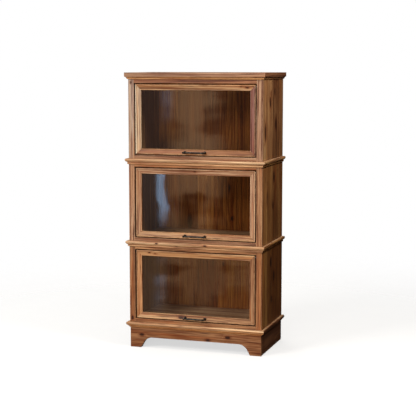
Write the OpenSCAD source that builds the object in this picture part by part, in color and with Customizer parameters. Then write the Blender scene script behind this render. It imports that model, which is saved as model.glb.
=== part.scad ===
// Barrister bookcase: three glazed sections on an arched plinth.
// X runs across the front, Y from front to back, Z up. The origin is on the floor, under the
// middle of the whole piece with its pulls. Each door hangs on two studs near its top edge; it
// flips up to level and then slides back over the books on a pair of carriages.

/* [Case] */
// Width over the side panels
case_w = 700; // [600:10:900]
// Depth from the face frame to the back of the back boards
case_d = 400; // [380:10:480]
// Height of a section from one ledge to the next
section_h = 420; // [400:10:460]
// Height of the top section
top_section_h = 432; // [430:1:440]
// Thickness of the side panels and the floor boards
panel_t = 18; // [16:1:18]
// Thickness of the back boards
back_t = 10; // [8:1:14]
// Set-back of the back boards from the rear edges of the sides
back_inset = 1.5; // [0:0.5:3]
// Number of boards across the back of a section
back_count = 6; // [4:1:9]
// Width of the V grooves along the joints of the side planks
plank_groove = 1.6; // [1:0.2:2]

/* [Face frame] */
// Thickness of the face frame
frame_t = 20; // [18:1:22]
// Width of each face stile
stile_w = 30; // [29:1:40]
// Height of the rail above a door, with the part that the moulding covers
head_rail_h = 28; // [26:1:34]
// Chamfer that eases the long edges
ease = 0.8; // [0.4:0.1:1.2]

/* [Mouldings] */
// Overhang of the ledges past the case
overhang = 16; // [14:1:18]
// Thickness of the ledge between sections
ledge_t = 13; // [12:1:15]
// Thickness of the crown board
crown_t = 21; // [18:1:22]
// Radius of the rounded ledge edges
nose_r = 8; // [8:0.5:12]
// Height of the moulding under a ledge
cove_h = 15.5; // [14:0.5:17]
// How far the bead of that moulding stands off the case
bead_out = 6.5; // [5:0.5:8]
// Height of the moulding under the crown board
crown_cove_h = 12; // [11:0.5:14]

/* [Plinth] */
// Height of the plinth boards
plinth_h = 118; // [104:1:144]
// Set-back of the plinth boards from the case above
plinth_inset = 2; // [0:0.5:4]
// Width of each bracket foot on the floor
foot_w = 57; // [45:1:80]
// Height of the arch
arch_h = 54; // [45:1:60]
// Radius of the arch's ends
arch_r = 52; // [35:1:60]
// Height of the moulding under the base board
base_cove_h = 14; // [12:0.5:16]
// How far the bead of that moulding stands off the plinth
base_bead_out = 5; // [4:0.5:7]
// Thickness of the base board
base_t = 14; // [12:1:15]

/* [Doors] */
// Thickness of the door frame
door_t = 20; // [20:1:22]
// Width of the door frame members
member_w = 29; // [28:1:40]
// Gap between a door and the stile beside it
side_gap = 6; // [6:0.5:8]
// Gap above and below a door
end_gap = 4; // [4:0.5:5]
// Set-back of the door face behind the face frame
door_recess = 4; // [2:0.5:5]
// Thickness of the glass
glass_t = 4; // [3:0.5:5]

/* [Pulls] */
// Distance between the pull's posts
pull_centres = 102; // [76:1:160]
// Distance from the door face to the front of the pull
pull_stand = 29; // [26:1:34]
// Radius of the grip
pull_r = 4.5; // [4:0.25:5]

/* [Slides] */
// Distance that a door slides back
travel = 285; // [200:5:285]
// Radius of the studs that the doors hang on
stud_r = 3; // [2.5:0.5:3]
// Radial clearance of the studs in the door stiles
stud_clear = 0.05; // [0.02:0.01:0.1]

/* [Hidden] */
$fn = 48;
JOINT = 0.2;                                // open joint between mitred pieces

SECTIONS = ["bottom", "middle", "top"];
PIECES = ["side_left", "side_right", "face_stiles", "head_rail", "sill_rail", "back_boards",
    "floor_board", "ledge_board", "cove_moulding", "slide_tracks", "follower_strip", "carriages",
    "door_stiles", "door_top_rail", "door_bottom_rail", "glass_pane", "glazing_beads", "pull"];
BASE_PIECES = ["plinth_front", "plinth_left", "plinth_right", "plinth_back", "base_board",
    "base_cove"];

TAN = [0.72, 0.54, 0.40];
HONEY = [0.80, 0.64, 0.46];
BROWN = [0.62, 0.42, 0.30];
DARK = [0.45, 0.29, 0.20];
SHADE = [0.30, 0.20, 0.13];
IRON = [0.10, 0.10, 0.10];
STEEL = [0.42, 0.42, 0.43];
GLASS = [0.75, 0.85, 0.85, 0.35];

// Case levels, from the floor or from the underside of a section
half_w = case_w / 2;
front_y = (pull_stand - door_recess - case_d) / 2;
base_top = plinth_h + base_t;
inner_x = half_w - panel_t;
plank_joints = [101, 188, 318];             // joints in the side panels, from the case front
back_y = case_d - back_t - back_inset;
lap_w = 6;                                  // overlap of the back boards' rebated edges
sill_h = panel_t;
head_z = section_h - ledge_t - head_rail_h;

// Door frame, measured from the bottom left front corner of the door
door_x = half_w - stile_w - side_gap;
door_w = 2 * door_x;
door_z = sill_h + end_gap;
turn_room = 2;                              // extra gap above the door for its turning edge
door_top = head_z - end_gap - turn_room;
door_h = door_top - door_z;
rim_w = 5;                                  // flat rim around the door's bevel
lip_w = 2;                                  // lip beside the glass
sight_t = 9.5;                              // depth of the glass behind the door face
rebate_w = 7;                               // width of the glass rebate
bevel_t = 6.5;                              // depth of the bevel's inner edge
shy = 0.5;                                  // how far the beads and the glass stop short
soft = 1.5;                                 // chamfer on the door's outer edges
relief = 7;                                 // chamfer on the door's top back edge

// Pivot of the door, measured from the case front and the underside of a section
pivot_y = door_recess + door_t / 2;
pivot_drop = 10.5;
pivot_z = door_top - pivot_drop;
stud_len = 12;

// Carriage, track and follower
plate_t = 3;
plate_gap = 1.5;                            // clearance beside the door
plate_x = door_x + plate_gap;
shoe_x = plate_x + plate_t;
shoe_h = 14;
shoe_y0 = pivot_y + 12;
stop_room = 10;                             // left behind a door that is slid right back
shoe_y1 = back_y - travel - stop_room;
track_x = half_w - stile_w + 1;
track_h = 32;
track_web = 3;                              // wood left behind the groove
groove_w = inner_x - track_x - track_web;
groove_clear = 0.3;
strip_d = 20;
strip_h = 24;
plate_r = 8;                                // radius of a carriage's round end

// Pull, on the centre line of the door's bottom rail
seat_t = 5.5;                               // depth of the pull's spot-faced seats
seat_r = 7;
seat_clear = 0.2;
flange_t = 4.5;                             // straight part of a post's flange
flare_r = 5;                                // radius and height of the flare above it
flare_z = 7;
neck_r = 3.6;
neck_z = 11;
pull_end_r = 5.2;
pull_y = -(pull_stand - pull_end_r);

// Arch in the plinth front, which ends in a slant that is tangent to an arc
slant = 60;
arc_step = 6;                               // degrees of arc to a facet
arch_x = foot_w + arch_r * sin(slant) + (arch_h - arch_r * (1 - cos(slant))) / tan(slant);

function section_top(k) = k == 2 ? top_section_h : section_h;
function top_t(k) = k == 2 ? crown_t : ledge_t;
function cove_height(k) = k == 2 ? crown_cove_h : cove_h;
function frame_top(k) = section_top(k) - top_t(k);

// Rectangle with chamfered corners
function eased(a0, a1, b0, b1) = [
    [a0 + ease, b0], [a1 - ease, b0], [a1, b0 + ease], [a1, b1 - ease],
    [a1 - ease, b1], [a0 + ease, b1], [a0, b1 - ease], [a0, b0 + ease]];

// Boards with eased long edges, lying along X, Y or Z
module board_x(x, y, z) {
    translate([x[0], 0, 0]) rotate([90, 0, 90])
        linear_extrude(x[1] - x[0]) polygon(eased(y[0], y[1], z[0], z[1]));
}

module board_y(x, y, z) {
    translate([0, y[1], 0]) rotate([90, 0, 0])
        linear_extrude(y[1] - y[0]) polygon(eased(x[0], x[1], z[0], z[1]));
}

module board_z(x, y, z) {
    translate([0, 0, z[0]])
        linear_extrude(z[1] - z[0]) polygon(eased(x[0], x[1], y[0], y[1]));
}

// Both hands of a piece that is drawn on the right
module pair() {
    children();
    mirror([1, 0, 0]) children();
}

module at_base() {
    translate([0, front_y, 0]) children();
}

module at_section(k) {
    translate([0, front_y, base_top + k * section_h]) children();
}

module at_door(k) {
    at_section(k) translate([-door_x, door_recess, door_z]) children();
}

// Cross-section of a ledge whose edge at x = 0 is rounded to radius r, or square where r is 0
module nosing(t, r, reach) {
    intersection() {
        square([reach, t]);
        union() {
            translate([r, -t]) square([reach, 3 * t]);
            if (r > 0) translate([r, t / 2]) circle(r);
        }
    }
}

// Board that overhangs the front and both sides
module ledge(t, r) {
    width = case_w + 2 * overhang;
    depth = case_d + overhang;
    translate([-width / 2, -overhang, 0]) intersection() {
        rotate([90, 0, 90]) linear_extrude(width) nosing(t, r, depth);
        translate([0, depth, 0]) rotate([90, 0, 0]) linear_extrude(depth) intersection() {
            nosing(t, r, width);
            translate([width, 0]) mirror([1, 0]) nosing(t, r, width);
        }
    }
}

// Cross-section of the moulding under a ledge: a fillet, a cove and a bead. x = 0 is the face
// that it is fixed to, reach is the distance to the ledge's edge and out is how far the bead
// stands off.
module cove_profile(h, reach, out) {
    fillet_h = 2.2;
    fillet_back = 3.5;                      // set-back of the fillet from the ledge's edge
    fillet_x = fillet_back - reach;
    bead_r = 0.3 * h;
    cove_r = h - fillet_h - 1.5 * bead_r;
    cove_z = h - fillet_h - cove_r;
    backing = out - 2;                      // wood between the bead and the cove
    intersection() {
        translate([-reach, 0]) square([reach, h]);
        union() {
            translate([-backing, 0]) square([backing, h]);
            translate([fillet_x, h - fillet_h]) square([reach, 2 * fillet_h]);
            translate([bead_r - out, bead_r]) circle(bead_r);
            difference() {
                translate([fillet_x + 1, cove_z]) square([reach, cove_r + 1]);
                translate([fillet_x + 0.5, cove_z]) circle(cove_r);
            }
        }
    }
}

// Moulding round the front and both sides of boards set back by inset, mitred at the corners
module cove_ring(h, out, inset = 0) {
    reach = overhang + inset;
    far = reach + 10;                       // clear of the moulding's outer edge
    half = half_w - inset;
    front = [[-half, 0], [-half - far, -far], [half + far, -far], [half, 0]];
    side = [[half, JOINT], [half + far, JOINT - far], [half + far, case_d], [half, case_d]];
    translate([0, inset, 0]) {
        intersection() {
            translate([-half - far, 0, 0]) rotate([90, 0, 90])
                linear_extrude(2 * (half + far)) cove_profile(h, reach, out);
            linear_extrude(h) polygon(front);
        }
        pair() intersection() {
            translate([half, case_d - inset, 0]) rotate([90, 0, 0])
                linear_extrude(case_d + far) mirror([1, 0]) cove_profile(h, reach, out);
            linear_extrude(h) polygon(side);
        }
    }
}

// Plinth

// Outline of one end of the arch: a slant from the floor that runs into an arc
function arch_end() = concat([[foot_w, 0]],
    [for (a = [slant:-arc_step:0]) [arch_x - arch_r * sin(a), arch_h - arch_r * (1 - cos(a))]]);

module plinth_front() {
    half = half_w - plinth_inset;
    left = [for (p = arch_end()) [p[0] - half, p[1]]];
    right = [for (i = [len(left) - 1:-1:0]) [-left[i][0], left[i][1]]];
    color(BROWN) at_base() translate([0, plinth_inset + frame_t, 0]) rotate([90, 0, 0])
        linear_extrude(frame_t) polygon(concat([[-half, 0]], left, right,
            [[half, 0], [half, plinth_h], [-half, plinth_h]]));
}

module plinth_right() {
    half = half_w - plinth_inset;
    color(DARK) at_base()
        board_y([half - panel_t, half], [plinth_inset + frame_t, case_d], [0, plinth_h]);
}

module plinth_left() {
    mirror([1, 0, 0]) plinth_right();
}

// The back board stops short of the floor
module plinth_back() {
    x = inner_x - plinth_inset;
    floor_gap = plinth_h / 5;
    color(DARK) at_base() board_x([-x, x], [case_d - panel_t, case_d], [floor_gap, plinth_h]);
}

module base_cove() {
    color(TAN) at_base() translate([0, 0, plinth_h - base_cove_h])
        cove_ring(base_cove_h, base_bead_out, plinth_inset);
}

module base_board() {
    color(TAN) at_base() translate([0, 0, plinth_h]) ledge(base_t, nose_r);
}

// Case of a section

module side_right(k) {
    size = plank_groove / sqrt(2);
    color(BROWN) at_section(k) difference() {
        board_z([inner_x, half_w], [frame_t, case_d], [0, frame_top(k)]);
        for (y = plank_joints) translate([half_w, y, frame_top(k) / 2]) rotate([0, 0, 45])
            cube([size, size, frame_top(k) + 1], center = true);
    }
}

module side_left(k) {
    mirror([1, 0, 0]) side_right(k);
}

module face_stiles(k) {
    color(TAN) at_section(k) pair()
        board_z([half_w - stile_w, half_w], [0, frame_t], [0, frame_top(k)]);
}

module head_rail(k) {
    color(BROWN) at_section(k)
        board_x([stile_w - half_w, half_w - stile_w], [0, frame_t], [head_z, frame_top(k)]);
}

module sill_rail(k) {
    color(TAN) at_section(k)
        board_x([stile_w - half_w, half_w - stile_w], [0, frame_t], [0, sill_h]);
}

// Outline of a back board: l and r are the overlaps with its neighbours, 0 at the sides
function lapped(w, l, r) = concat(
    [[0, ease], [ease, 0], [w - ease, 0], [w, ease]],
    r > 0 ? [[w, back_t / 2 + JOINT], [w + r, back_t / 2 + JOINT]] : [],
    [[w + r, back_t - ease], [w + r - ease, back_t], [l + ease, back_t], [l, back_t - ease]],
    l > 0 ? [[l, back_t / 2], [0, back_t / 2]] : []);

module back_boards(k) {
    pitch = 2 * (inner_x + JOINT) / back_count;
    color(SHADE) at_section(k) for (i = [0:back_count - 1]) {
        l = i > 0 ? lap_w : 0;
        r = i < back_count - 1 ? lap_w : 0;
        translate([i * pitch - inner_x, back_y, 0])
            linear_extrude(frame_top(k)) polygon(lapped(pitch - 2 * JOINT, l, r));
    }
}

module floor_board(k) {
    color(SHADE) at_section(k)
        board_x([-inner_x, inner_x], [frame_t, back_y], [0, panel_t]);
}

module ledge_board(k) {
    color(HONEY) at_section(k) translate([0, 0, frame_top(k)]) ledge(top_t(k), k < 2 ? nose_r : 0);
}

module cove_moulding(k) {
    h = cove_height(k);
    color(TAN) at_section(k) translate([0, 0, frame_top(k) - h]) cove_ring(h, bead_out);
}

module slide_tracks(k) {
    groove_h = shoe_h + 2 * groove_clear;
    color(DARK) at_section(k) pair() difference() {
        board_y([track_x, inner_x], [frame_t, back_y],
            [pivot_z - track_h / 2, pivot_z + track_h / 2]);
        translate([track_x - 1, frame_t - 1, pivot_z - groove_h / 2])
            cube([groove_w + 1, case_d, groove_h]);
    }
}

// Carrier

// Sliding shoe, plate and stud that hold the door by its top corners
module carriages(k) {
    shoe_w = track_x + groove_w - groove_clear - shoe_x;
    plate_h = 2 * plate_r;
    color(STEEL) at_section(k) pair() translate([0, pivot_y, pivot_z]) {
        translate([plate_x + plate_t / 2, shoe_y0 - pivot_y, -shoe_h / 2])
            cube([shoe_w + plate_t / 2, shoe_y1 - shoe_y0, shoe_h]);
        translate([plate_x, 0, -plate_h / 2])
            cube([plate_t, shoe_y1 - pivot_y, plate_h]);
        translate([plate_x, 0, 0]) rotate([0, 90, 0]) cylinder(h = plate_t, r = plate_r);
        translate([door_x - stud_len, 0, 0]) rotate([0, 90, 0])
            cylinder(h = stud_len + plate_gap + 1, r = stud_r);
    }
}

module follower_strip(k) {
    color(DARK) at_section(k)
        board_x([-plate_x, plate_x], [shoe_y0, shoe_y0 + strip_d],
            [pivot_z - strip_h + plate_r, pivot_z + plate_r]);
}

// Door

// Bevelled frame section: x inwards from the outer edge, y back from the face
function member_profile() = [
    [0, soft], [soft, 0], [rim_w, 0], [rim_w + 1, soft], [member_w - rim_w, bevel_t],
    [member_w - lip_w, bevel_t], [member_w, sight_t - 1], [member_w, sight_t],
    [member_w - rebate_w, sight_t], [member_w - rebate_w, door_t], [0, door_t]];

// Glazing bead that holds the glass from behind, a little short of the door's edges
function bead_profile() = [
    [member_w - rebate_w, sight_t + glass_t], [member_w - shy, sight_t + glass_t],
    [member_w - shy, sight_t + glass_t + soft], [member_w - rebate_w + 2, door_t - shy],
    [member_w - rebate_w, door_t - shy]];

// Bar along X with its outer edge on z = 0, mitred at both ends
module mitred_bar(length, profile) {
    m = 2 * member_w;
    intersection() {
        rotate([90, 0, 90]) linear_extrude(length) polygon([for (p = profile) [p[1], p[0]]]);
        translate([0, door_t + 1, 0]) rotate([90, 0, 0]) linear_extrude(door_t + 2)
            polygon([[JOINT / 2, 0], [length - JOINT / 2, 0], [length - m, m], [m, m]]);
    }
}

module upright_bars(profile) {
    mirror([1, 0, -1]) mitred_bar(door_h, profile);
    translate([door_w, 0, 0]) mirror([1, 0, 0]) mirror([1, 0, -1]) mitred_bar(door_h, profile);
}

module top_bar(profile) {
    translate([0, 0, door_h]) mirror([0, 0, 1]) mitred_bar(door_w, profile);
}

// Stud bores and the chamfer that lets the top edge turn in front of the follower
module pivot_cuts() {
    for (x = [-1, door_w - stud_len - 1])
        translate([x, door_t / 2, door_h - pivot_drop]) rotate([0, 90, 0])
            cylinder(h = stud_len + 2, r = stud_r + stud_clear);
    translate([door_w / 2, door_t, door_h]) rotate([45, 0, 0])
        cube([door_w + 2, relief * sqrt(2), relief * sqrt(2)], center = true);
}

module door_stiles(k) {
    color(HONEY) at_door(k) difference() {
        upright_bars(member_profile());
        pivot_cuts();
    }
}

module door_top_rail(k) {
    color(BROWN) at_door(k) difference() {
        top_bar(member_profile());
        pivot_cuts();
    }
}

module door_bottom_rail(k) {
    color(TAN) at_door(k) difference() {
        mitred_bar(door_w, member_profile());
        for (side = [-1, 1])
            translate([(door_w + side * pull_centres) / 2, seat_t, member_w / 2])
                rotate([90, 0, 0]) cylinder(h = seat_t + 1, r = seat_r + seat_clear);
    }
}

module glass_pane(k) {
    edge = member_w - rebate_w + shy;
    color(GLASS) at_door(k) translate([edge, sight_t, edge])
        cube([door_w - 2 * edge, glass_t, door_h - 2 * edge]);
}

module glazing_beads(k) {
    color(DARK) at_door(k) {
        upright_bars(bead_profile());
        top_bar(bead_profile());
        mitred_bar(door_w, bead_profile());
    }
}

// Pull: a round grip between two flared posts with rounded ends
module pull(k) {
    reach = seat_t - pull_y;
    color(IRON) at_door(k) translate([door_w / 2, 0, member_w / 2]) {
        translate([-pull_centres / 2, pull_y, 0]) rotate([0, 90, 0])
            cylinder(h = pull_centres, r = pull_r);
        for (side = [-1, 1]) translate([side * pull_centres / 2, seat_t, 0]) {
            rotate([90, 0, 0]) rotate_extrude()
                polygon([[0, 0], [seat_r, 0], [seat_r, flange_t], [flare_r, flare_z],
                    [neck_r, neck_z], [neck_r, reach], [0, reach]]);
            translate([0, -reach, 0]) sphere(pull_end_r);
        }
    }
}

plinth_front();
plinth_left();
plinth_right();
plinth_back();
base_cove();
base_board();
for (k = [0:2]) {
    side_left(k);
    side_right(k);
    face_stiles(k);
    head_rail(k);
    sill_rail(k);
    back_boards(k);
    floor_board(k);
    ledge_board(k);
    cove_moulding(k);
    slide_tracks(k);
    follower_strip(k);
    carriages(k);
    door_stiles(k);
    door_top_rail(k);
    door_bottom_rail(k);
    glass_pane(k);
    glazing_beads(k);
    pull(k);
}
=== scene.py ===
"""Looks of the barrister bookcase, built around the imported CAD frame."""

import math
import random

import bpy
import bmesh
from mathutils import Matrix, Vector


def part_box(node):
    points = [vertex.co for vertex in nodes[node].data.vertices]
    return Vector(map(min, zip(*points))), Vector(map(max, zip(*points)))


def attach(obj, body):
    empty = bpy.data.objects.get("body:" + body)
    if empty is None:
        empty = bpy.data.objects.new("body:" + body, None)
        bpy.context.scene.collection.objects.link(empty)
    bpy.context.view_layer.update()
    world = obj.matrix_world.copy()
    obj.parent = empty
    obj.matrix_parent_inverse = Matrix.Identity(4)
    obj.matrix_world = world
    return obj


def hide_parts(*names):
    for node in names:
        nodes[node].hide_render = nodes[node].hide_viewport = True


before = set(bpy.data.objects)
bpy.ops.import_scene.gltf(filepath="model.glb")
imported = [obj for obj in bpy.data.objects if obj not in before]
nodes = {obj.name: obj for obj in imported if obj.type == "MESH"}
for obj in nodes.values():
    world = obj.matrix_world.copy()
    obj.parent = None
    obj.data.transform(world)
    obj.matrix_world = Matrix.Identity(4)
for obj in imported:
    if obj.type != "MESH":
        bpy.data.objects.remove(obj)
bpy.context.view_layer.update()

SECTIONS = ("bottom", "middle", "top")
MM = 0.001
WHITE = (1, 1, 1, 1)


def low(node):
    """Lowest corner of a CAD node."""
    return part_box(node)[0]


def high(node):
    """Highest corner of a CAD node."""
    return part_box(node)[1]


def add_object(name, data):
    """Makes an object of a mesh, a light or a camera, and puts it into the scene."""
    made = bpy.data.objects.new(name, data)
    bpy.context.scene.collection.objects.link(made)
    return made


# ---------------------------------------------------------------- camera and lights

CASE_LEFT = low("bottom_face_stiles").x
CASE_RIGHT = high("bottom_face_stiles").x
CASE_FRONT = low("bottom_face_stiles").y
CASE_W = CASE_RIGHT - CASE_LEFT

# The camera's place in widths of the case, from the floor under the case's front left edge
CAMERA_RIGHT = 3.1543
CAMERA_AHEAD = 7.8877
CAMERA_UP = 2.0607
CAMERA_TILT = 6.95      # degrees down
CAMERA_PAN = 17.93      # degrees to the left
LENS = 101.7            # millimetres


def make_camera():
    """Camera to the right of the bookcase at about the height of its top, looking slightly down."""
    data = bpy.data.cameras.new("camera")
    data.lens = LENS
    camera = add_object("camera", data)
    camera.location = (CASE_LEFT + CAMERA_RIGHT * CASE_W, CASE_FRONT - CAMERA_AHEAD * CASE_W,
                       CAMERA_UP * CASE_W)
    camera.rotation_euler = (math.radians(90 - CAMERA_TILT), 0, math.radians(CAMERA_PAN))
    bpy.context.scene.camera = camera


def area_light(name, place, target, size, power, colour, glossy=True):
    """Soft box that looks at a target, in metres and watts. Shiny surfaces mirror it if glossy."""
    data = bpy.data.lights.new(name, "AREA")
    data.shape = "RECTANGLE"
    data.size, data.size_y = size
    data.energy = power
    data.color = colour
    light = add_object(name, data)
    light.location = place
    light.rotation_euler = (Vector(target) - light.location).to_track_quat("-Z", "Y").to_euler()
    light.visible_camera = False
    light.visible_glossy = glossy
    return light


def keep_off_glass(light):
    """Keeps a soft box's mirror image out of the panes."""
    panes = bpy.data.collections.new(light.name + "_skips")
    light.light_linking.receiver_collection = panes
    for name in SECTIONS:
        panes.objects.link(nodes[name + "_glass_pane"])
    for item in panes.collection_objects:
        item.light_linking.link_state = "EXCLUDE"


def make_lights():
    """Soft boxes: high at the front left, low in front, over the right side and behind."""
    key = area_light("key", place=(-2.3, -3.7, 3.0), target=(0, 0, 0.8), size=(1.6, 1.6),
                     power=176, colour=(1, 0.97, 0.92))
    keep_off_glass(key)
    area_light("front", place=(0.1, -4.2, 0.75), target=(0, 0, 0.7), size=(1.4, 1.0),
               power=84, colour=(1, 0.96, 0.90), glossy=False)
    area_light("side_top", place=(1.25, -0.66, 2.05), target=(0.35, -0.05, 1.30), size=(0.5, 0.5),
               power=27, colour=(1, 0.93, 0.84))
    area_light("behind", place=(-1.9, 3.6, 2.6), target=(0, 0, 0.8), size=(2.0, 2.0),
               power=60, colour=(1, 0.98, 0.95), glossy=False)


# ---------------------------------------------------------------- node helpers

class Tree:
    """Short calls for building a node tree."""

    def __init__(self, tree):
        self.tree = tree

    def add(self, kind, values=None, **settings):
        """Adds a node, with its settings and the values of its inputs."""
        node = self.tree.nodes.new("ShaderNode" + kind)
        for name, value in settings.items():
            setattr(node, name, value)
        for key, value in (values or {}).items():
            self.feed(node.inputs[key], value)
        return node

    def feed(self, socket, value):
        """Links an input to another node's output, or gives it a constant."""
        if isinstance(value, bpy.types.NodeSocket):
            self.tree.links.new(value, socket)
        else:
            socket.default_value = value

    def first(self, kind, values=None, **settings):
        """The first output of a new node."""
        return self.add(kind, values, **settings).outputs[0]

    def math(self, operation, a, b=0.0):
        return self.first("Math", {0: a, 1: b}, operation=operation)

    def times(self, a, b):
        return self.math("MULTIPLY", a, b)

    def plus(self, a, b):
        return self.math("ADD", a, b)

    def minus(self, a, b):
        return self.math("SUBTRACT", a, b)

    def vector(self, operation, a, b):
        return self.first("VectorMath", {0: a, 1: b}, operation=operation)

    def scale(self, vector, factors):
        return self.vector("MULTIPLY", vector, factors)

    def length(self, vector):
        return self.add("VectorMath", {0: vector}, operation="LENGTH").outputs["Value"]

    def dot(self, a, b):
        return self.add("VectorMath", {0: a, 1: b}, operation="DOT_PRODUCT").outputs["Value"]

    def split(self, vector):
        return self.add("SeparateXYZ", {0: vector}).outputs

    def join(self, x, y, z):
        return self.first("CombineXYZ", {0: x, 1: y, 2: z})

    def place(self):
        """The point that is shaded, in metres in the CAD frame."""
        return self.add("TexCoord").outputs["Object"]

    def mix(self, factor, a, b, blend="MIX"):
        node = self.add("Mix", data_type="RGBA", blend_type=blend)
        for index, value in ((0, factor), (6, a), (7, b)):
            self.feed(node.inputs[index], value)
        return node.outputs[2]

    def tint(self, factor, colour, filtered):
        """Colour seen through a filter, as far as the factor says."""
        return self.mix(factor, colour, filtered, "MULTIPLY")

    def noise(self, point, scale, detail=2.0, roughness=0.5):
        return self.first("TexNoise", {"Vector": point, "Scale": scale, "Detail": detail,
                                       "Roughness": roughness})

    def streaks(self, point, factors, detail=2.0, roughness=0.5):
        """Noise drawn out along an axis; factors are how often it changes along X, Y and Z."""
        return self.noise(self.scale(point, factors), 1.0, detail, roughness)

    def random(self, seed, output):
        return self.add("TexWhiteNoise", {"W": seed}, noise_dimensions="1D").outputs[output]

    def span(self, value, low_in, high_in, low_out=0.0, high_out=1.0):
        """Value carried from one range to another with a smooth start and end."""
        return self.first("MapRange", {0: value, 1: low_in, 2: high_in, 3: low_out, 4: high_out},
                          interpolation_type="SMOOTHSTEP")

    def band(self, value, start, full, fade, end):
        """1 between full and fade, and 0 before start and after end."""
        return self.times(self.span(value, start, full), self.span(value, end, fade))

    def ramp(self, value, stops):
        """Grey level that runs straight between stops of (value, level)."""
        node = self.add("ValToRGB", {0: value})
        elements = node.color_ramp.elements
        while len(elements) < len(stops):
            elements.new(0.5)
        for element, (place, level) in zip(elements, stops):
            element.position = place
            element.color = (level, level, level, 1)
        return node.outputs[0]

    def bump(self, height, strength, distance, normal=None):
        """Normal bent by a height, whose unit is the distance."""
        node = self.add("Bump", {"Height": height, "Strength": strength, "Distance": distance})
        if normal:
            self.feed(node.inputs["Normal"], normal)
        return node.outputs[0]

    def blend(self, share, first, second):
        """The first shader, and by the share the second one."""
        return self.first("MixShader", {0: share, 1: first, 2: second})

    def finish(self, shader):
        """Makes a shader the material's surface."""
        self.add("OutputMaterial", {0: shader})


def srgb(*values):
    """Linear colour of a display colour given from 0 to 255."""
    return tuple(((v / 255 + 0.055) / 1.055) ** 2.4 for v in values) + (1.0,)


def new_material(name):
    """An empty material, and the tree to build it in."""
    material = bpy.data.materials.new(name)
    material.use_nodes = True
    material.node_tree.nodes.clear()
    return material, Tree(material.node_tree)


# ---------------------------------------------------------------- floor and surroundings

FLOOR_R = 9.0
FADE_START = 0.9        # distances from the middle, between which the floor fades out
FADE_END = 3.2
# Unit vectors towards the bright part of the ceiling and the lit part of the wall
CEILING = (-0.25, -0.20, 0.95)
LIT_WALL = (-0.315, -0.942, -0.118)


def make_floor():
    """A pale, half see-through floor that fades out into the pale surroundings."""
    bm = bmesh.new()
    bmesh.ops.create_circle(bm, cap_ends=True, segments=96, radius=FLOOR_R)
    mesh = bpy.data.meshes.new("floor")
    bm.to_mesh(mesh)
    bm.free()
    floor = add_object("floor", mesh)
    material, t = new_material("floor_pale")
    tone = t.mix(t.noise(t.place(), 6.0, 4.0), (0.94, 0.94, 0.94, 1), (0.90, 0.90, 0.90, 1))
    seen = t.add("LightPath").outputs["Is Camera Ray"]
    tone = t.mix(seen, srgb(96, 66, 46), tone)
    paint = t.first("BsdfPrincipled", {"Roughness": 0.75, "Base Color": tone})
    clear = t.first("BsdfTransparent")
    fade = t.span(t.length(t.place()), FADE_START, FADE_END, 0.62, 1.0)
    t.finish(t.blend(fade, paint, clear))
    mesh.materials.append(material)


def wall_light(t, direction, bands):
    """A lit stretch of brown wall that the glass mirrors, in soft bands and columns.

    Its parts are set by direction, a unit vector: across is its X and up its Z.
    """
    across, _, up = t.split(direction)
    patches = t.span(t.plus(bands, t.streaks(direction, (38, 38, 7))), 0.90, 1.10)
    wall = t.mix(patches, srgb(88, 54, 34), srgb(228, 176, 132))
    left = t.mix(t.span(up, -0.145, -0.165), srgb(138, 118, 108), srgb(150, 116, 88))
    left = t.mix(t.span(up, -0.085, -0.065), left, srgb(106, 80, 70))
    wall = t.mix(t.span(across, -0.325, -0.345), wall, left)

    near = t.span(t.dot(direction, LIT_WALL), 0.955, 0.985)
    lit = t.math("MAXIMUM", t.span(across, -0.285, -0.31), t.span(up, -0.145, -0.165))
    low_left = t.times(t.span(across, -0.322, -0.338), t.span(up, -0.150, -0.168))
    level = t.plus(t.span(up, -0.17, -0.05, 1.0, 1.8), t.times(low_left, 1.5))
    strength = t.plus(0.03, t.times(t.times(near, lit), level))
    return t.first("Background", {0: wall, 1: strength})


def window_light(t, direction, bands):
    """A tall, narrow window in that wall, with a wavering edge, and its glow above and below."""
    across, _, up = t.split(direction)
    ripple = t.times(t.plus(t.streaks(direction, (20, 20, 50)), -0.5), 0.012)
    lean = t.times(t.plus(up, 0.092), 0.105)
    pane = t.band(t.plus(t.plus(across, lean), ripple), -0.3490, -0.3465, -0.3430, -0.3405)
    pane = t.times(pane, t.band(up, -0.140, -0.118, -0.094, -0.086))
    beside = t.band(across, -0.348, -0.342, -0.339, -0.334)
    below = t.band(up, -0.212, -0.190, -0.175, -0.155)
    above = t.span(up, -0.055, -0.035, 0.0, 0.6)
    glow = t.times(t.times(beside, t.plus(below, above)), t.span(bands, 0.35, 0.65))
    return t.first("Background", {0: (0.42, 0.66, 1.0, 1), 1: t.plus(t.times(pane, 3.2), glow)})


def make_world():
    """Soft surroundings: a bright ceiling over dim brown walls, which the camera sees as plain white."""
    world = bpy.data.worlds.new("studio")
    bpy.context.scene.world = world
    world.use_nodes = True
    world.node_tree.nodes.clear()
    t = Tree(world.node_tree)
    direction = t.add("TexCoord").outputs["Generated"]
    bands = t.streaks(direction, (10, 10, 60), 3.0)
    overhead = t.span(t.dot(direction, CEILING), 0.1, 1.0, 0.0, 0.85)
    room = t.first("Background", {0: (1.0, 0.97, 0.93, 1), 1: overhead})
    for light in (wall_light(t, direction, bands), window_light(t, direction, bands)):
        room = t.first("AddShader", {0: room, 1: light})
    white = t.first("Background", {0: WHITE, 1: 1.0})
    seen = t.add("LightPath").outputs["Is Camera Ray"]
    t.add("OutputWorld", {0: t.blend(seen, room, white)})


make_camera()
make_lights()
make_world()
make_floor()
bpy.context.scene.view_settings.view_transform = "Standard"


# ---------------------------------------------------------------- wood

RING_W = 5.5 * MM           # width of a year's growth


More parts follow.
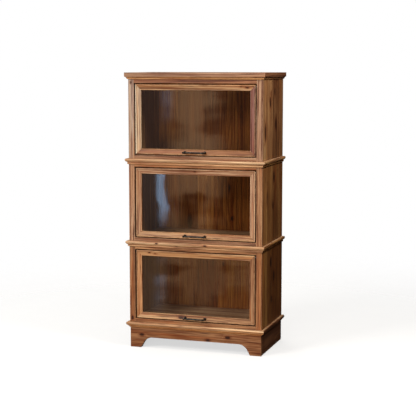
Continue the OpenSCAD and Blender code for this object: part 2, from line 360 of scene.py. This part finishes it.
def timber_group():
    """Old softwood, solid all through. Point is in metres with the grain along X."""
    group = bpy.data.node_groups.new("timber", "ShaderNodeTree")
    for name, kind in (("Point", "Vector"), ("Seed", "Float"), ("Pale", "Color"), ("Deep", "Color"),
                       ("Streak", "Color"), ("Knots", "Float"), ("Placed", "Float"), ("Fleck", "Float")):
        group.interface.new_socket(name, in_out="INPUT", socket_type="NodeSocket" + kind)
    for name, kind in (("Colour", "Color"), ("Rough", "Float"), ("Height", "Float")):
        group.interface.new_socket(name, in_out="OUTPUT", socket_type="NodeSocket" + kind)
    t = Tree(group)
    given = group.nodes.new("NodeGroupInput").outputs
    hashed = t.random(given["Seed"], "Color")
    here = t.vector("ADD", given["Point"], t.scale(hashed, (3.1, 2.3, 1.7)))

    # random knots in long cells along the grain, and the listed knots
    cell = t.add("TexVoronoi", {"Vector": t.scale(here, (5.0, 15, 15)), "Scale": 1.0})
    size = t.times(t.span(t.split(cell.outputs["Color"])[0], 0.70, 1.0, 0.0, 0.16), given["Knots"])
    wobble = t.streaks(here, (90, 220, 220))
    random_knot = t.math("DIVIDE", cell.outputs["Distance"], t.plus(size, 0.0005))
    ratio = t.plus(t.math("MINIMUM", random_knot, given["Placed"]), t.times(wobble, 0.5))
    knot = t.span(ratio, 1.35, 1.05)
    rim = t.times(t.span(ratio, 1.7, 1.3), t.minus(1.0, knot))
    halo = t.span(ratio, 3.0, 1.2)

    # growth rings around a pith that lies outside the board, bent slowly along the grain
    warp = t.add("TexNoise", {"Vector": t.scale(here, (1.6, 7, 7)), "Scale": 1.0, "Detail": 2.0})
    bend = t.scale(t.vector("SUBTRACT", warp.outputs["Color"], (0.5, 0.5, 0.5)), (0, 0.036, 0.036))
    pith = t.scale(t.vector("SUBTRACT", hashed, (0.5, 0.5, 0.2)), (0, 0.10, 0.12))
    across = t.vector("SUBTRACT", t.vector("ADD", given["Point"], bend), pith)
    radius = t.length(t.scale(across, (0, 1, 1)))
    wander = t.streaks(here, (2.2, 40, 40), 3.0)
    rings = t.plus(t.math("DIVIDE", radius, RING_W), t.times(wander, 1.8))
    turn = t.math("FRACT", t.plus(rings, t.times(halo, 1.9)))
    late = t.ramp(turn, [(0.0, 0.35), (0.10, 0.0), (0.55, 0.22), (0.86, 1.0), (1.0, 0.35)])

    # slow drifts, streaks of three widths, fibres, checks and dark marks
    drift = t.streaks(here, (1.2, 24, 24), 3.0, 0.55)
    streak = t.streaks(here, (2.4, 90, 90), 3.0, 0.6)
    thin = t.streaks(here, (4.5, 240, 240), 2.0, 0.6)
    glow = t.streaks(here, (2.0, 62, 62))
    fibre = t.streaks(here, (28, 900, 900), 2.0, 0.6)
    pores = t.span(t.streaks(here, (14, 420, 420), 1.0), 0.64, 0.73)
    patch = t.span(t.streaks(here, (3.5, 9, 9)), 0.50, 0.62)
    check = t.times(t.span(t.streaks(here, (7, 330, 330), 1.0), 0.62, 0.70), patch)
    stain = t.span(t.streaks(here, (6, 16, 16), 4.0, 0.7), 0.60, 0.74)

    colour = t.mix(t.span(drift, 0.38, 0.62), given["Pale"], given["Deep"])
    colour = t.tint(t.span(glow, 0.52, 0.70, 0.0, 0.55), colour, srgb(255, 196, 132))
    colour = t.mix(t.times(t.span(streak, 0.49, 0.61), given["Fleck"]), colour, given["Streak"])
    colour = t.tint(t.span(thin, 0.49, 0.60, 0.0, 0.75), colour, srgb(176, 128, 108))
    colour = t.tint(t.times(late, 0.55), colour, srgb(150, 100, 74))
    colour = t.mix(t.span(fibre, 0.25, 0.75, 0.0, 0.22), colour, srgb(54, 30, 18))
    colour = t.mix(t.times(pores, 0.32), colour, srgb(46, 26, 16))
    colour = t.tint(t.times(stain, 0.34), colour, srgb(128, 108, 104))
    colour = t.mix(t.times(check, 0.80), colour, srgb(44, 27, 20))
    colour = t.tint(t.times(halo, 0.50), colour, srgb(188, 118, 70))
    colour = t.mix(t.times(rim, 0.75), colour, srgb(64, 32, 18))
    colour = t.mix(t.times(knot, 0.96), colour, t.mix(wobble, srgb(18, 10, 7), srgb(62, 33, 20)))

    rough = t.plus(t.minus(0.46, t.times(late, 0.06)), t.times(wander, 0.16))
    rough = t.plus(rough, t.times(t.plus(pores, check), 0.18))
    height = t.plus(t.times(late, 0.25), t.times(fibre, 0.35))
    for dent, depth in ((pores, 0.5), (check, 0.9), (knot, 0.4)):
        height = t.minus(height, t.times(dent, depth))
    out = group.nodes.new("NodeGroupOutput").inputs
    for name, value in (("Colour", colour), ("Rough", rough), ("Height", height)):
        group.links.new(value, out[name])
    return group


TIMBER = timber_group()

# Tones of the boards: the colour of their palest wood, as it is displayed
TONES = {
    "straw": (222, 217, 196),
    "rose": (200, 184, 167),
    "gold": (224, 192, 151),
    "peach": (225, 179, 130),
    "tan": (200, 163, 130),
    "drab": (173, 141, 114),
    "amber": (202, 152, 107),
    "brown": (180, 139, 102),
    "umber": (158, 122, 95),
    "russet": (155, 106, 74),
    "mauve": (140, 99, 89),
    "olive": (183, 146, 101),
    "moss": (179, 136, 81),
    "peat": (183, 138, 77),
    "honey": (190, 153, 113),
    "cedar": (156, 110, 69),
    "clove": (163, 117, 80),
    "wheat": (230, 176, 117),
    "cream": (253, 190, 126),
    "dusk": (164, 104, 46),
    # shade is a dark tone that stands in for shade: painted shade on the plinth's sides and on side runs
    # of mouldings
    "shade": (122, 84, 56),
}
DEEP = (0.72, 0.62, 0.54, 1.0)
STREAK = (0.36, 0.26, 0.24, 1.0)
PLAIN_TONES = ("straw", "gold", "cream")
PLAIN_FLECK = 0.55          # how strong the streaks are on boards of a plain tone

# Which coordinates of the frame are the timber's X, Y and Z, by the way that the grain runs
TURNS = {"x": (0, 1, 2), "y": (1, 2, 0), "z": (2, 0, 1)}
PLANK_SEED = 1.37           # how far the seeds of neighbouring planks are apart
KNOT_SHAPE = (0.55, 1, 1)   # a placed knot is longer along the grain than across
NO_KNOT = 9.0               # distance to a knot, in its radii, where there is none

COAT_SHARE = 0.2            # of a board's gloss that its coat of oil gives
EDGE_R = 2.5 * MM           # how round the boards' edges look
CORNER_SHADE_REACH = 16 * MM       # how far the painted shade reaches out of a corner


def tone_colours(tone):
    """Pale wood, deep wood and the streaks in it."""
    pale = srgb(*TONES[tone])
    return [tuple(a * b for a, b in zip(pale, factor)) for factor in (WHITE, DEEP, STREAK)]


def turned(place, grain):
    """A place in the frame, turned so that the grain runs along X."""
    return [place[i] for i in TURNS[grain]]


def plank_number(t, axis, joints):
    """Number of the plank that a point is in: how many of the joints lie before it."""
    along = t.split(t.place())["XYZ".index(axis)]
    number = 0.0
    for joint in joints:
        number = t.plus(t.math("GREATER_THAN", along, joint), number)
    return number


def nearest_knot(t, point, grain, placed):
    """Distance to the nearest of the placed knots, in its radii."""
    nearest = NO_KNOT
    for place, radius in placed:
        away = t.scale(t.vector("SUBTRACT", point, turned(place, grain)), KNOT_SHAPE)
        nearest = t.math("MINIMUM", t.math("DIVIDE", t.length(away), radius), nearest)
    return nearest


def rubbed(t, colour, point, normal, wear, rub):
    """Colour paled in patches along the edges and, as far as asked, over the whole face: partly worn
    wood, partly painted highlight.
    """
    flat = t.dot(normal, t.add("NewGeometry").outputs["Normal"])
    edge = t.span(flat, 0.985, 0.86)
    patchy = t.span(t.streaks(point, (30, 90, 90), 3.0, 0.6), 0.34, 0.58)
    # the paling is partly worn wood and partly painted highlight on edges that would catch the light
    worn = t.plus(t.times(t.times(edge, patchy), wear), t.times(patchy, rub))
    return t.mix(worn, colour, t.mix(0.6, colour, srgb(236, 194, 146)))


def corner_shaded(t, colour):
    """Colour darkened in corners and under ledges by ambient occlusion: painted shade."""
    shelter = t.add("AmbientOcclusion", {"Distance": CORNER_SHADE_REACH}, samples=4).outputs["AO"]
    return t.tint(t.span(shelter, 0.66, 0.12, 0.0, 0.70), colour, srgb(96, 62, 44))


def wood(name, tone, grain, seed, knots=1.0, fleck=0.85, wear=0.7, rub=0.0, gloss=0.25,
         placed=(), planks=None, shades=None):
    """A board's material: its timber, paled along the edges partly as worn wood and partly as painted
    highlight, with painted shade in the corners.

    seed picks a board of its own and knots is how large the random knots grow. Of the two
    paling arguments, the first pales the edges and the second the whole face, in patches, partly
    as worn wood and partly as painted highlight. placed lists knots as (place, radius), planks is
    an axis with the joints between planks, and shades is how dark each plank is.
    """
    material, t = new_material(name)
    point = t.join(*turned(t.split(t.place()), grain))
    if tone in PLAIN_TONES:
        fleck *= PLAIN_FLECK
    if planks:
        number = plank_number(t, *planks)
        seed = t.plus(t.times(number, PLANK_SEED), seed)
        shade = t.random(seed, "Value")
        if shades:
            last = len(shades) - 1
            stops = [(i / last, level) for i, level in enumerate(shades)]
            shade = t.ramp(t.math("DIVIDE", number, last), stops)

    pale, deep, streak = tone_colours(tone)
    placed_knot = nearest_knot(t, point, grain, placed)
    timber = t.add("Group", node_tree=TIMBER)
    for key, value in (("Point", point), ("Seed", seed), ("Pale", pale), ("Deep", deep),
                       ("Streak", streak), ("Knots", knots), ("Placed", placed_knot), ("Fleck", fleck)):
        t.feed(timber.inputs[key], value)
    colour, rough, height = timber.outputs
    if planks:
        colour = t.tint(shade, colour, srgb(164, 142, 128))
    normal = t.first("Bevel", {"Radius": EDGE_R}, samples=4)
    # edges and rims paled partly as worn wood and partly as painted highlight; corners darkened as
    # painted shade
    colour = corner_shaded(t, rubbed(t, colour, point, normal, wear, rub))
    t.finish(t.first("BsdfPrincipled", {
        "Base Color": colour, "Roughness": rough, "Normal": t.bump(height, 0.4, 0.6 * MM, normal),
        "Specular IOR Level": gloss, "Coat Weight": COAT_SHARE * gloss, "Coat Roughness": 0.35}))
    return material


# ---------------------------------------------------------------- boards

# Tone of each board, from the bottom section to the top one
BOARD_TONES = {
    "stile_left": ("brown", "tan", "rose"),
    "stile_right": ("amber", "brown", "drab"),
    "head_rail": ("amber", "amber", "russet"),
    "sill_rail": ("brown", "umber", "drab"),
    "door_left": ("amber", "tan", "straw"),
    "door_right": ("brown", "tan", "mauve"),
    "door_top": ("peach", "tan", "honey"),
    "door_foot": ("honey", "honey", "cedar"),
    "ledge": ("gold", "gold", "drab"),
    # the cove mouldings' pale tones partly make up for the shadow under the ledges: painted light on
    # their beads
    "cove": ("peach", "peach", "wheat"),
    # the side panels and the side runs of the mouldings have darker tones than the fronts, partly as
    # painted shade on faces turned from the light
    "side": ("peat", "moss", "olive"),
    "ledge_side": ("moss", "olive", "shade"),
    "cove_side": ("peat", "moss", "olive"),
}
# How dark each plank of the side panels is, from the bottom section to the top one: partly the planks'
# own colour, partly painted shade, darker in the lower sections
SIDE_SHADES = ((0.0, 0.75, 1.0, 0.9), (0.0, 0.3, 0.7, 0.5), (0.0, 0.1, 0.85, 0.4))

# Knots that show, by part: shares across, up and back in its node's box, and radius in millimetres
KNOTS = {
    "plinth_front": [(0.089, 0.565, 0, 6), (0.75, 0.70, 0, 6.5), (0.60, 0.52, 0, 5)],
    "bottom_ledge": [(0.23, 0.5, 0, 3.5), (0.58, 0.4, 0, 4)],
    "bottom_door_foot": [(0.38, 0.5, 0, 7.5)],
    "bottom_door_top": [(0.11, 0.6, 0, 4), (0.16, 0.4, 0, 4)],
    "middle_door_top": [(0.50, 0.6, 0, 4)],
    "top_door_top": [(0.93, 0.5, 0, 5), (0.88, 0.7, 0, 3)],
    "top_stile_left": [(0.02, 0.93, 0, 3.5)],
    "bottom_stile_left": [(0.02, 0.05, 0, 5)],
    "top_back": [(0.68, 0.87, 0, 5)],
    "middle_back": [(0.62, 0.20, 0, 6)],
    "top_side_right": [(1, 0.69, 0.34, 12), (1, 0.42, 0.62, 13), (1, 0.82, 0.56, 8)],
    "middle_side_right": [(1, 0.80, 0.54, 13), (1, 0.45, 0.50, 9)],
    "bottom_side_right": [(1, 0.78, 0.40, 12), (1, 0.58, 0.56, 13), (1, 0.30, 0.45, 9)],
}

# Joints of the side panels' planks, as shares of the depth
JOINT_SHARES = (101 / 400, 188 / 400, 318 / 400)
LAP = 6 * MM            # how far each back board reaches over the next one, outside
BACK_COUNT = 6          # back boards in a section
RIM_AHEAD = 8 * MM      # faces this far ahead of a pane belong to the flat rim of its door
DULL = 0.06             # gloss of the boards that nobody polished
FLOOR_GLOSS = 0.1


def dress(node, material):
    """Gives a CAD node one material."""
    dress_by(node, [material], lambda face: 0)


def dress_by(node, materials, choose):
    """Gives each face of a CAD node one of several materials, which choose picks by number."""
    mesh = nodes[node].data
    mesh.materials.clear()
    for material in materials:
        mesh.materials.append(material)
    for face in mesh.polygons:
        face.material_index = choose(face)


def on_right(face):
    return int(face.center.x > 0)


def on_side(face):
    """1 for a face that looks sideways, as on the side runs of a moulding."""
    return int(abs(face.normal.x) > max(0.3, abs(face.normal.y)))


def on_rim(face):
    """1 for a face of the flat rim round a door's front."""
    return int(face.normal.y < -0.9 and face.center.y < low("top_glass_pane").y - RIM_AHEAD)


def knots_on(node, part):
    """Places and radii of the knots that KNOTS gives for a part, on a node's box."""
    near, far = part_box(node)
    size = far - near
    return [((near.x + across * size.x, near.y + back * size.y, near.z + up * size.z), radius * MM)
            for across, up, back, radius in KNOTS.get(part, ())]


def plank_joints():
    """Y of the joints in the side panels, halfway across the V grooves."""
    depth = high("top_side_right").y - CASE_FRONT
    return [CASE_FRONT + share * depth for share in JOINT_SHARES]


def back_joints(node, lap=0.0):
    """X of the joints between the back boards, which lie further right by the lap outside."""
    left, right = low(node).x, high(node).x
    return [left + (right - left) * i / BACK_COUNT + lap for i in range(1, BACK_COUNT)]


def dress_section(index, name):
    """Gives every board of a section its own wood."""
    start = 10.0 * (index + 1)

    def board(part, node, grain, seed, tone=None, **more):
        """Wood for a part, in its own tone and with the knots that show on it."""
        label = f"{name}_{part}"
        return wood(label, tone or BOARD_TONES[part][index], grain, start + seed,
                    placed=knots_on(f"{name}_{node}", label), **more)

    def rimmed(part, node, grain, seed):
        """The bevelled face of a door member, and its rim, paled in patches partly as worn wood and
        partly as painted highlight.
        """
        tone = BOARD_TONES[part][index]
        face = board(part, node, grain, seed, knots=0.5, wear=0.75)
        return [face, board(part + "_rim", node, grain, seed, tone, knots=0.5, wear=0.6, rub=0.25)]

    # the frame and the mouldings, whose ends and side runs are boards of their own
    dress_by(name + "_face_stiles",
             [board("stile_left", "face_stiles", "z", 0.13, knots=0.8),
              board("stile_right", "face_stiles", "z", 0.77, knots=0.8)], on_right)
    dress(name + "_head_rail", board("head_rail", "head_rail", "x", 1.3, knots=0.8))
    dress(name + "_sill_rail", board("sill_rail", "sill_rail", "x", 1.9, knots=0.8))
    for part, node, seed in (("ledge", "ledge_board", 2.4), ("cove", "cove_moulding", 2.9)):
        front = board(part, node, "x", seed, knots=0.7, wear=0.9)
        side = board(part + "_side", node, "y", seed + 0.21, knots=0.7, wear=0.6)
        dress_by(f"{name}_{node}", [front, side], on_side)

    # the planked sides and back; the back's joints lie elsewhere inside than outside
    side_tone = BOARD_TONES["side"][index]
    for part, seed in (("side_left", 7.7), ("side_right", 8.7)):
        dress(f"{name}_{part}",
              board(part, part, "z", seed, side_tone, knots=1.3, wear=0.35,
                    planks=("Y", plank_joints()), shades=SIDE_SHADES[index]))
    back = name + "_back_boards"
    outside = (low(back).y + high(back).y) / 2 + 0.5 * MM
    dress_by(back, [board(part, "back_boards", "z", 4.1, "dusk", knots=1.2, fleck=0.6, wear=0.1,
                          gloss=DULL, planks=("X", back_joints(back, lap)))
                    for part, lap in (("back", 0.0), ("back_outside", LAP))],
             lambda face: int(face.center.y > outside))

    dress(name + "_floor_board", board("floor", "floor_board", "x", 4.6, "tan", gloss=FLOOR_GLOSS))
    dress(name + "_slide_tracks", board("tracks", "slide_tracks", "y", 5.2, "dusk", gloss=DULL))
    dress(name + "_follower_strip", board("strip", "follower_strip", "x", 5.9, "dusk", gloss=DULL))

    # the door
    dress(name + "_glazing_beads", board("beads", "glazing_beads", "x", 8.4, "umber"))
    dress_by(name + "_door_stiles", rimmed("door_left", "door_stiles", "z", 6.3)
             + rimmed("door_right", "door_stiles", "z", 6.8),
             lambda face: 2 * on_right(face) + on_rim(face))
    dress_by(name + "_door_top_rail", rimmed("door_top", "door_top_rail", "x", 7.3), on_rim)
    dress_by(name + "_door_bottom_rail", rimmed("door_foot", "door_bottom_rail", "x", 7.9), on_rim)


def dress_base():
    """Gives the plinth and the mouldings round it their wood."""
    dress("plinth_front", wood("plinth_front", "clove", "x", 51.3, fleck=0.6,
                               placed=knots_on("plinth_front", "plinth_front")))
    # the plinth's sides and the side runs below take the dark shade tone: painted shade
    dress("plinth_left", wood("plinth_left", "shade", "y", 52.1))
    dress("plinth_right", wood("plinth_right", "shade", "y", 53.7))
    dress("plinth_back", wood("plinth_back", "dusk", "x", 54.9))
    dress_by("base_board", [wood("base_board", "gold", "x", 55.2, wear=0.9),
                            wood("base_board_side", "shade", "y", 55.7, wear=0.6)], on_side)
    # the base cove's pale cream partly makes up for the shadow under the base board: painted light on
    # its bead
    dress_by("base_cove", [wood("base_cove", "cream", "x", 56.6),
                           wood("base_cove_side", "shade", "y", 56.9, wear=0.4)], on_side)


for index, name in enumerate(SECTIONS):
    dress_section(index, name)
dress_base()


# ---------------------------------------------------------------- glass and metal

GLASS_IOR = 1.5


def glass_material():
    """Clear sheet glass: see-through, with a mirror gloss that grows towards a grazing view."""
    material, t = new_material("sheet_glass")
    film = t.noise(t.place(), 3.0, 4.0, 0.6)
    wave = t.bump(t.noise(t.place(), 7.0, 1.0), 0.02, 2 * MM)
    tint = t.mix(t.span(film, 0.35, 0.75), (0.95, 0.97, 0.96, 1), (0.89, 0.90, 0.88, 1))
    clear = t.first("BsdfTransparent", {0: tint})
    mirror = t.first("BsdfGlossy", {0: WHITE, "Roughness": t.span(film, 0.3, 0.8, 0.01, 0.035),
                                    "Normal": wave})
    # the index is turned over on faces seen from behind
    behind = t.add("NewGeometry").outputs["Backfacing"]
    index = t.minus(GLASS_IOR, t.times(behind, GLASS_IOR - 1 / GLASS_IOR))
    t.finish(t.blend(t.first("Fresnel", {"IOR": index}), clear, mirror))
    return material


def iron_material():
    """Blackened iron, hammered, and worn grey in blotches."""
    material, t = new_material("blackened_iron")
    blotch = t.noise(t.place(), 160.0, 4.0, 0.6)
    hammer = t.noise(t.place(), 420.0)
    colour = t.mix(t.span(blotch, 0.45, 0.7), srgb(42, 41, 40), srgb(86, 81, 76))
    t.finish(t.first("BsdfPrincipled", {
        "Base Color": colour, "Metallic": 1.0, "Roughness": t.span(blotch, 0.3, 0.7, 0.22, 0.42),
        "Normal": t.bump(hammer, 0.4, 0.5 * MM)}))
    return material


def steel_material():
    """Dull steel, brushed along the depth and stained."""
    material, t = new_material("dull_steel")
    brush = t.streaks(t.place(), (900, 40, 900))
    stain = t.noise(t.place(), 60.0, 3.0)
    colour = t.mix(t.span(stain, 0.4, 0.7), srgb(92, 90, 88), srgb(58, 52, 46))
    t.finish(t.first("BsdfPrincipled", {
        "Base Color": colour, "Metallic": 1.0, "Roughness": t.span(brush, 0.2, 0.8, 0.3, 0.5),
        "Normal": t.bump(brush, 0.2, 0.3 * MM)}))
    return material


GLASS = glass_material()
IRON = iron_material()
STEEL = steel_material()
for name in SECTIONS:
    dress(name + "_glass_pane", GLASS)
    dress(name + "_pull", IRON)
    dress(name + "_carriages", STEEL)


# ---------------------------------------------------------------- fittings, in millimetres

SCREW_DISC = 0.5        # height of a screw head's disc
SCREW_LAND = 0.5        # height of the lands on it
LAND_SHARE = 0.94       # of the head's radius
SLOT_SHARE = 0.16       # of the lands' radius, from the middle to a side of the slot
ANY_TURN = 3.1          # radians; a slot lies anywhere up to this

PULL_END = 5.2          # from an end of the grip to the middle of its post
PULL_SCREW_R = 3.2
PULL_SCREW_TURNS = (0.5, 2.1)

NAIL_R = 2.2
NAIL_INSET = 9          # from the back's foot and top to its rows of nails
NAIL_SHARES = (0.22, 0.78)      # across a back board
NAIL_STRAY = 0.03       # of a board's width, how far a nail is off its place
NAIL_STRAY_UP = 1.5
TRACK_FACE = 29         # from the outside of the stiles to the inner face of a track
TRACK_SCREW_R = 2.3
TRACK_SCREW_UP = 4.4
TRACK_SHARES = (0.08, 0.5, 0.92)

STOP_W = 32
STOP_D = 12
STOP_H = 13
STOP_EDGE = 1.6
STOP_GAP = 1            # between the door and a stop
STOP_SHARE = 0.78       # of half the door's width, from the middle to a stop
STOP_SCREW_R = 2.6

BLOCK = 28              # how far a glue block reaches along both boards
BLOCK_CUT = 5           # width of its flat ends
BLOCK_FOOT = 12         # from the foot of the plinth's boards to a block
BLOCK_TOP = 4           # from a block to the top of the plinth
BLOCK_EDGE = 1
FIRST_SEED = 60         # of the random draws in the bottom section

# Turned profiles: half of the grip, and a post from its flange to the grip
GRIP_HALF = [(0, 0), (0.4, 2.0), (1.4, 3.6), (3.0, 4.7), (5.2, 5.2), (7.2, 5.0), (8.6, 4.3), (9.3, 3.8),
             (10.0, 4.3), (10.9, 4.7), (11.8, 4.3), (12.5, 3.9), (22.0, 4.1), (38.0, 4.4)]
GRIP_MIDDLE_R = 4.5
POST = [(0, 0), (0, 7.0), (3.9, 7.0), (4.6, 6.7), (5.0, 5.9), (5.4, 5.2), (6.1, 5.5), (6.8, 5.1),
        (8.2, 4.2), (11.0, 3.6), (18.0, 3.4), (22.5, 3.8), (26.0, 4.4), (29.0, 4.2), (30.0, 0)]


def add_piece(name, bm, material, body):
    """Makes a mesh object that rides on a body."""
    bmesh.ops.recalc_face_normals(bm, faces=bm.faces)
    mesh = bpy.data.meshes.new(name)
    bm.to_mesh(mesh)
    bm.free()
    mesh.set_sharp_from_angle(angle=math.radians(40))
    mesh.materials.append(material)
    piece = add_object(name, mesh)
    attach(piece, body)
    return piece


def add_turned(bm, start, axis, profile, segments):
    """Adds a turned solid from a profile of (distance along the axis, radius)."""
    axis = Vector(axis)
    across = axis.orthogonal().normalized()
    up = axis.cross(across)
    rings = []
    for along, radius in profile:
        centre = Vector(start) + along * MM * axis
        turns = [2 * math.pi * i / segments for i in range(segments if radius else 1)]
        rings.append([bm.verts.new(centre + radius * MM * (math.cos(a) * across + math.sin(a) * up))
                      for a in turns])
    for a, b in zip(rings, rings[1:]):
        for i in range(segments):
            j = (i + 1) % segments
            corners = (a[i % len(a)], a[j % len(a)], b[j % len(b)], b[i % len(b)])
            bm.faces.new(list(dict.fromkeys(corners))).smooth = True


def add_prism(bm, outline, start, axis, length, turn=0.0):
    """Adds a prism: an outline that is turned, stood on start and pushed along the axis."""
    spin = Vector((0, 0, 1)).rotation_difference(Vector(axis)).to_matrix()
    cos, sin = math.cos(turn), math.sin(turn)
    rings = []
    for along in (0.0, length):
        corners = [Vector((x * cos - y * sin, x * sin + y * cos, along)) for x, y in outline]
        rings.append([bm.verts.new(Vector(start) + spin @ corner * MM) for corner in corners])
    for ring in rings:
        bm.faces.new(ring)
    for i in range(len(outline)):
        j = i - 1
        bm.faces.new((rings[0][j], rings[0][i], rings[1][i], rings[1][j]))


def add_screw(bm, place, axis, radius, turn):
    """Adds a slotted screw head: a low disc under two half-round lands."""
    profile = [(-1, 0), (-1, radius), (SCREW_DISC - 0.1, radius), (SCREW_DISC, radius - 0.1),
               (SCREW_DISC, 0)]
    add_turned(bm, place, axis, profile, 20)
    start = math.asin(SLOT_SHARE)
    arc = [start + (math.pi - 2 * start) * i / 10 for i in range(11)]
    foot = Vector(place) + (SCREW_DISC - 0.05) * MM * Vector(axis)
    for side in (1, -1):
        land = [(LAND_SHARE * radius * math.cos(a), side * LAND_SHARE * radius * math.sin(a))
                for a in arc]
        add_prism(bm, land, foot, axis, SCREW_LAND, turn)


def add_nail(bm, place, axis, radius):
    """Adds a low, round nail head."""
    add_turned(bm, place, axis, [(-1, 0), (-1, radius), (0.3, radius), (0.6, 0.8 * radius),
                                 (0.8, 0.4 * radius), (0.85, 0)], 12)


def add_block(bm, corner, far, edge):
    """Adds a block with rounded edges."""
    made = bmesh.ops.create_cube(bm, size=1.0)["verts"]
    for vert in made:
        vert.co = [(a + b) / 2 + c * (b - a) for a, b, c in zip(corner, far, vert.co)]
    edges = list({e for vert in made for e in vert.link_edges})
    bmesh.ops.bevel(bm, geom=edges, offset=edge * MM, segments=2, profile=0.6, affect="EDGES")


def make_pull(name):
    """The door pull: a turned grip on two flared posts, and the screws that hold them."""
    near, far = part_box(name + "_pull")
    width = (far.x - near.x) / MM
    height = (near.z + far.z) / 2
    posts = (near.x + PULL_END * MM, far.x - PULL_END * MM)
    cast = bmesh.new()
    grip = GRIP_HALF + [(width / 2, GRIP_MIDDLE_R)] + [(width - x, r) for x, r in reversed(GRIP_HALF)]
    add_turned(cast, (near.x, near.y + PULL_END * MM, height), (1, 0, 0), grip, 32)
    for x in posts:
        add_turned(cast, (x, far.y, height), (0, -1, 0), POST, 32)
    piece = add_piece(name + "_pull_cast", cast, IRON, name + "_door")
    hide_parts(name + "_pull")

    screws = bmesh.new()
    behind = high(name + "_door_bottom_rail").y
    for x, turn in zip(posts, PULL_SCREW_TURNS):
        add_screw(screws, (x, behind, height), (0, 1, 0), PULL_SCREW_R, turn)
    add_piece(name + "_pull_screws", screws, STEEL, name + "_door")


def make_back_nails(name, rng):
    """Two nails at the top and two at the foot of each back board."""
    back = name + "_back_boards"
    nails = bmesh.new()
    edges = [low(back).x] + back_joints(back) + [high(back).x]
    for left, right in zip(edges, edges[1:]):
        for z in (low(back).z + NAIL_INSET * MM, high(back).z - NAIL_INSET * MM):
            for share in NAIL_SHARES:
                x = left + (share + rng.uniform(-NAIL_STRAY, NAIL_STRAY)) * (right - left)
                up = rng.uniform(-NAIL_STRAY_UP, NAIL_STRAY_UP) * MM
                place = (x, high(back).y, z + up)
                add_nail(nails, place, (0, 1, 0), NAIL_R)
    add_piece(name + "_back_nails", nails, STEEL, "case")


def make_track_screws(name, rng):
    """Three screws through each slide track."""
    near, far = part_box(name + "_slide_tracks")
    screws = bmesh.new()
    for side in (-1, 1):
        face = side * (high(name + "_face_stiles").x - TRACK_FACE * MM)
        for share in TRACK_SHARES:
            place = (face, near.y + share * (far.y - near.y), near.z + TRACK_SCREW_UP * MM)
            add_screw(screws, place, (-side, 0, 0), TRACK_SCREW_R, rng.uniform(0, ANY_TURN))
    add_piece(name + "_track_screws", screws, STEEL, "case")


def make_door_stops(name, rng, seed):
    """Two blocks on the floor behind the door's foot, each screwed down."""
    front = high(name + "_door_bottom_rail").y + STOP_GAP * MM
    floor = high(name + "_floor_board").z
    blocks = bmesh.new()
    screws = bmesh.new()
    for side in (-1, 1):
        x = side * STOP_SHARE * high(name + "_door_stiles").x
        top = floor + STOP_H * MM
        add_block(blocks, (x - STOP_W / 2 * MM, front, floor),
                  (x + STOP_W / 2 * MM, front + STOP_D * MM, top), STOP_EDGE)
        add_screw(screws, (x, front + STOP_D / 2 * MM, top), (0, 0, 1), STOP_SCREW_R,
                  rng.uniform(0, ANY_TURN))
    pine = wood(name + "_stops", "umber", "x", seed + 0.4)
    add_piece(name + "_door_stops", blocks, pine, "case")
    add_piece(name + "_stop_screws", screws, STEEL, "case")


def make_plinth_blocks():
    """Triangular glue blocks in the plinth's four corners."""
    outline = [(0, 0), (BLOCK, 0), (BLOCK, BLOCK_CUT), (BLOCK_CUT, BLOCK), (0, BLOCK)]
    bm = bmesh.new()
    top = high("plinth_front").z - BLOCK_TOP * MM
    for x, side in ((high("plinth_left").x, 1), (low("plinth_right").x, -1)):
        for y, way, board in ((high("plinth_front").y, 1, "plinth_front"),
                              (low("plinth_back").y, -1, "plinth_back")):
            foot = low(board).z + BLOCK_FOOT * MM
            corner = [(side * a, way * b) for a, b in outline]
            add_prism(bm, corner, (x, y, foot), (0, 0, 1), (top - foot) / MM)
    edges = [e for e in bm.edges if not e.is_manifold or e.calc_face_angle(0) > 1]
    bmesh.ops.bevel(bm, geom=edges, offset=BLOCK_EDGE * MM, segments=2, affect="EDGES")
    add_piece("plinth_blocks", bm, wood("plinth_blocks", "umber", "z", 57.4), "case")


for index, name in enumerate(SECTIONS):
    seed = FIRST_SEED + index
    rng = random.Random(seed)
    make_pull(name)
    make_back_nails(name, rng)
    make_track_screws(name, rng)
    make_door_stops(name, rng, seed)
make_plinth_blocks()
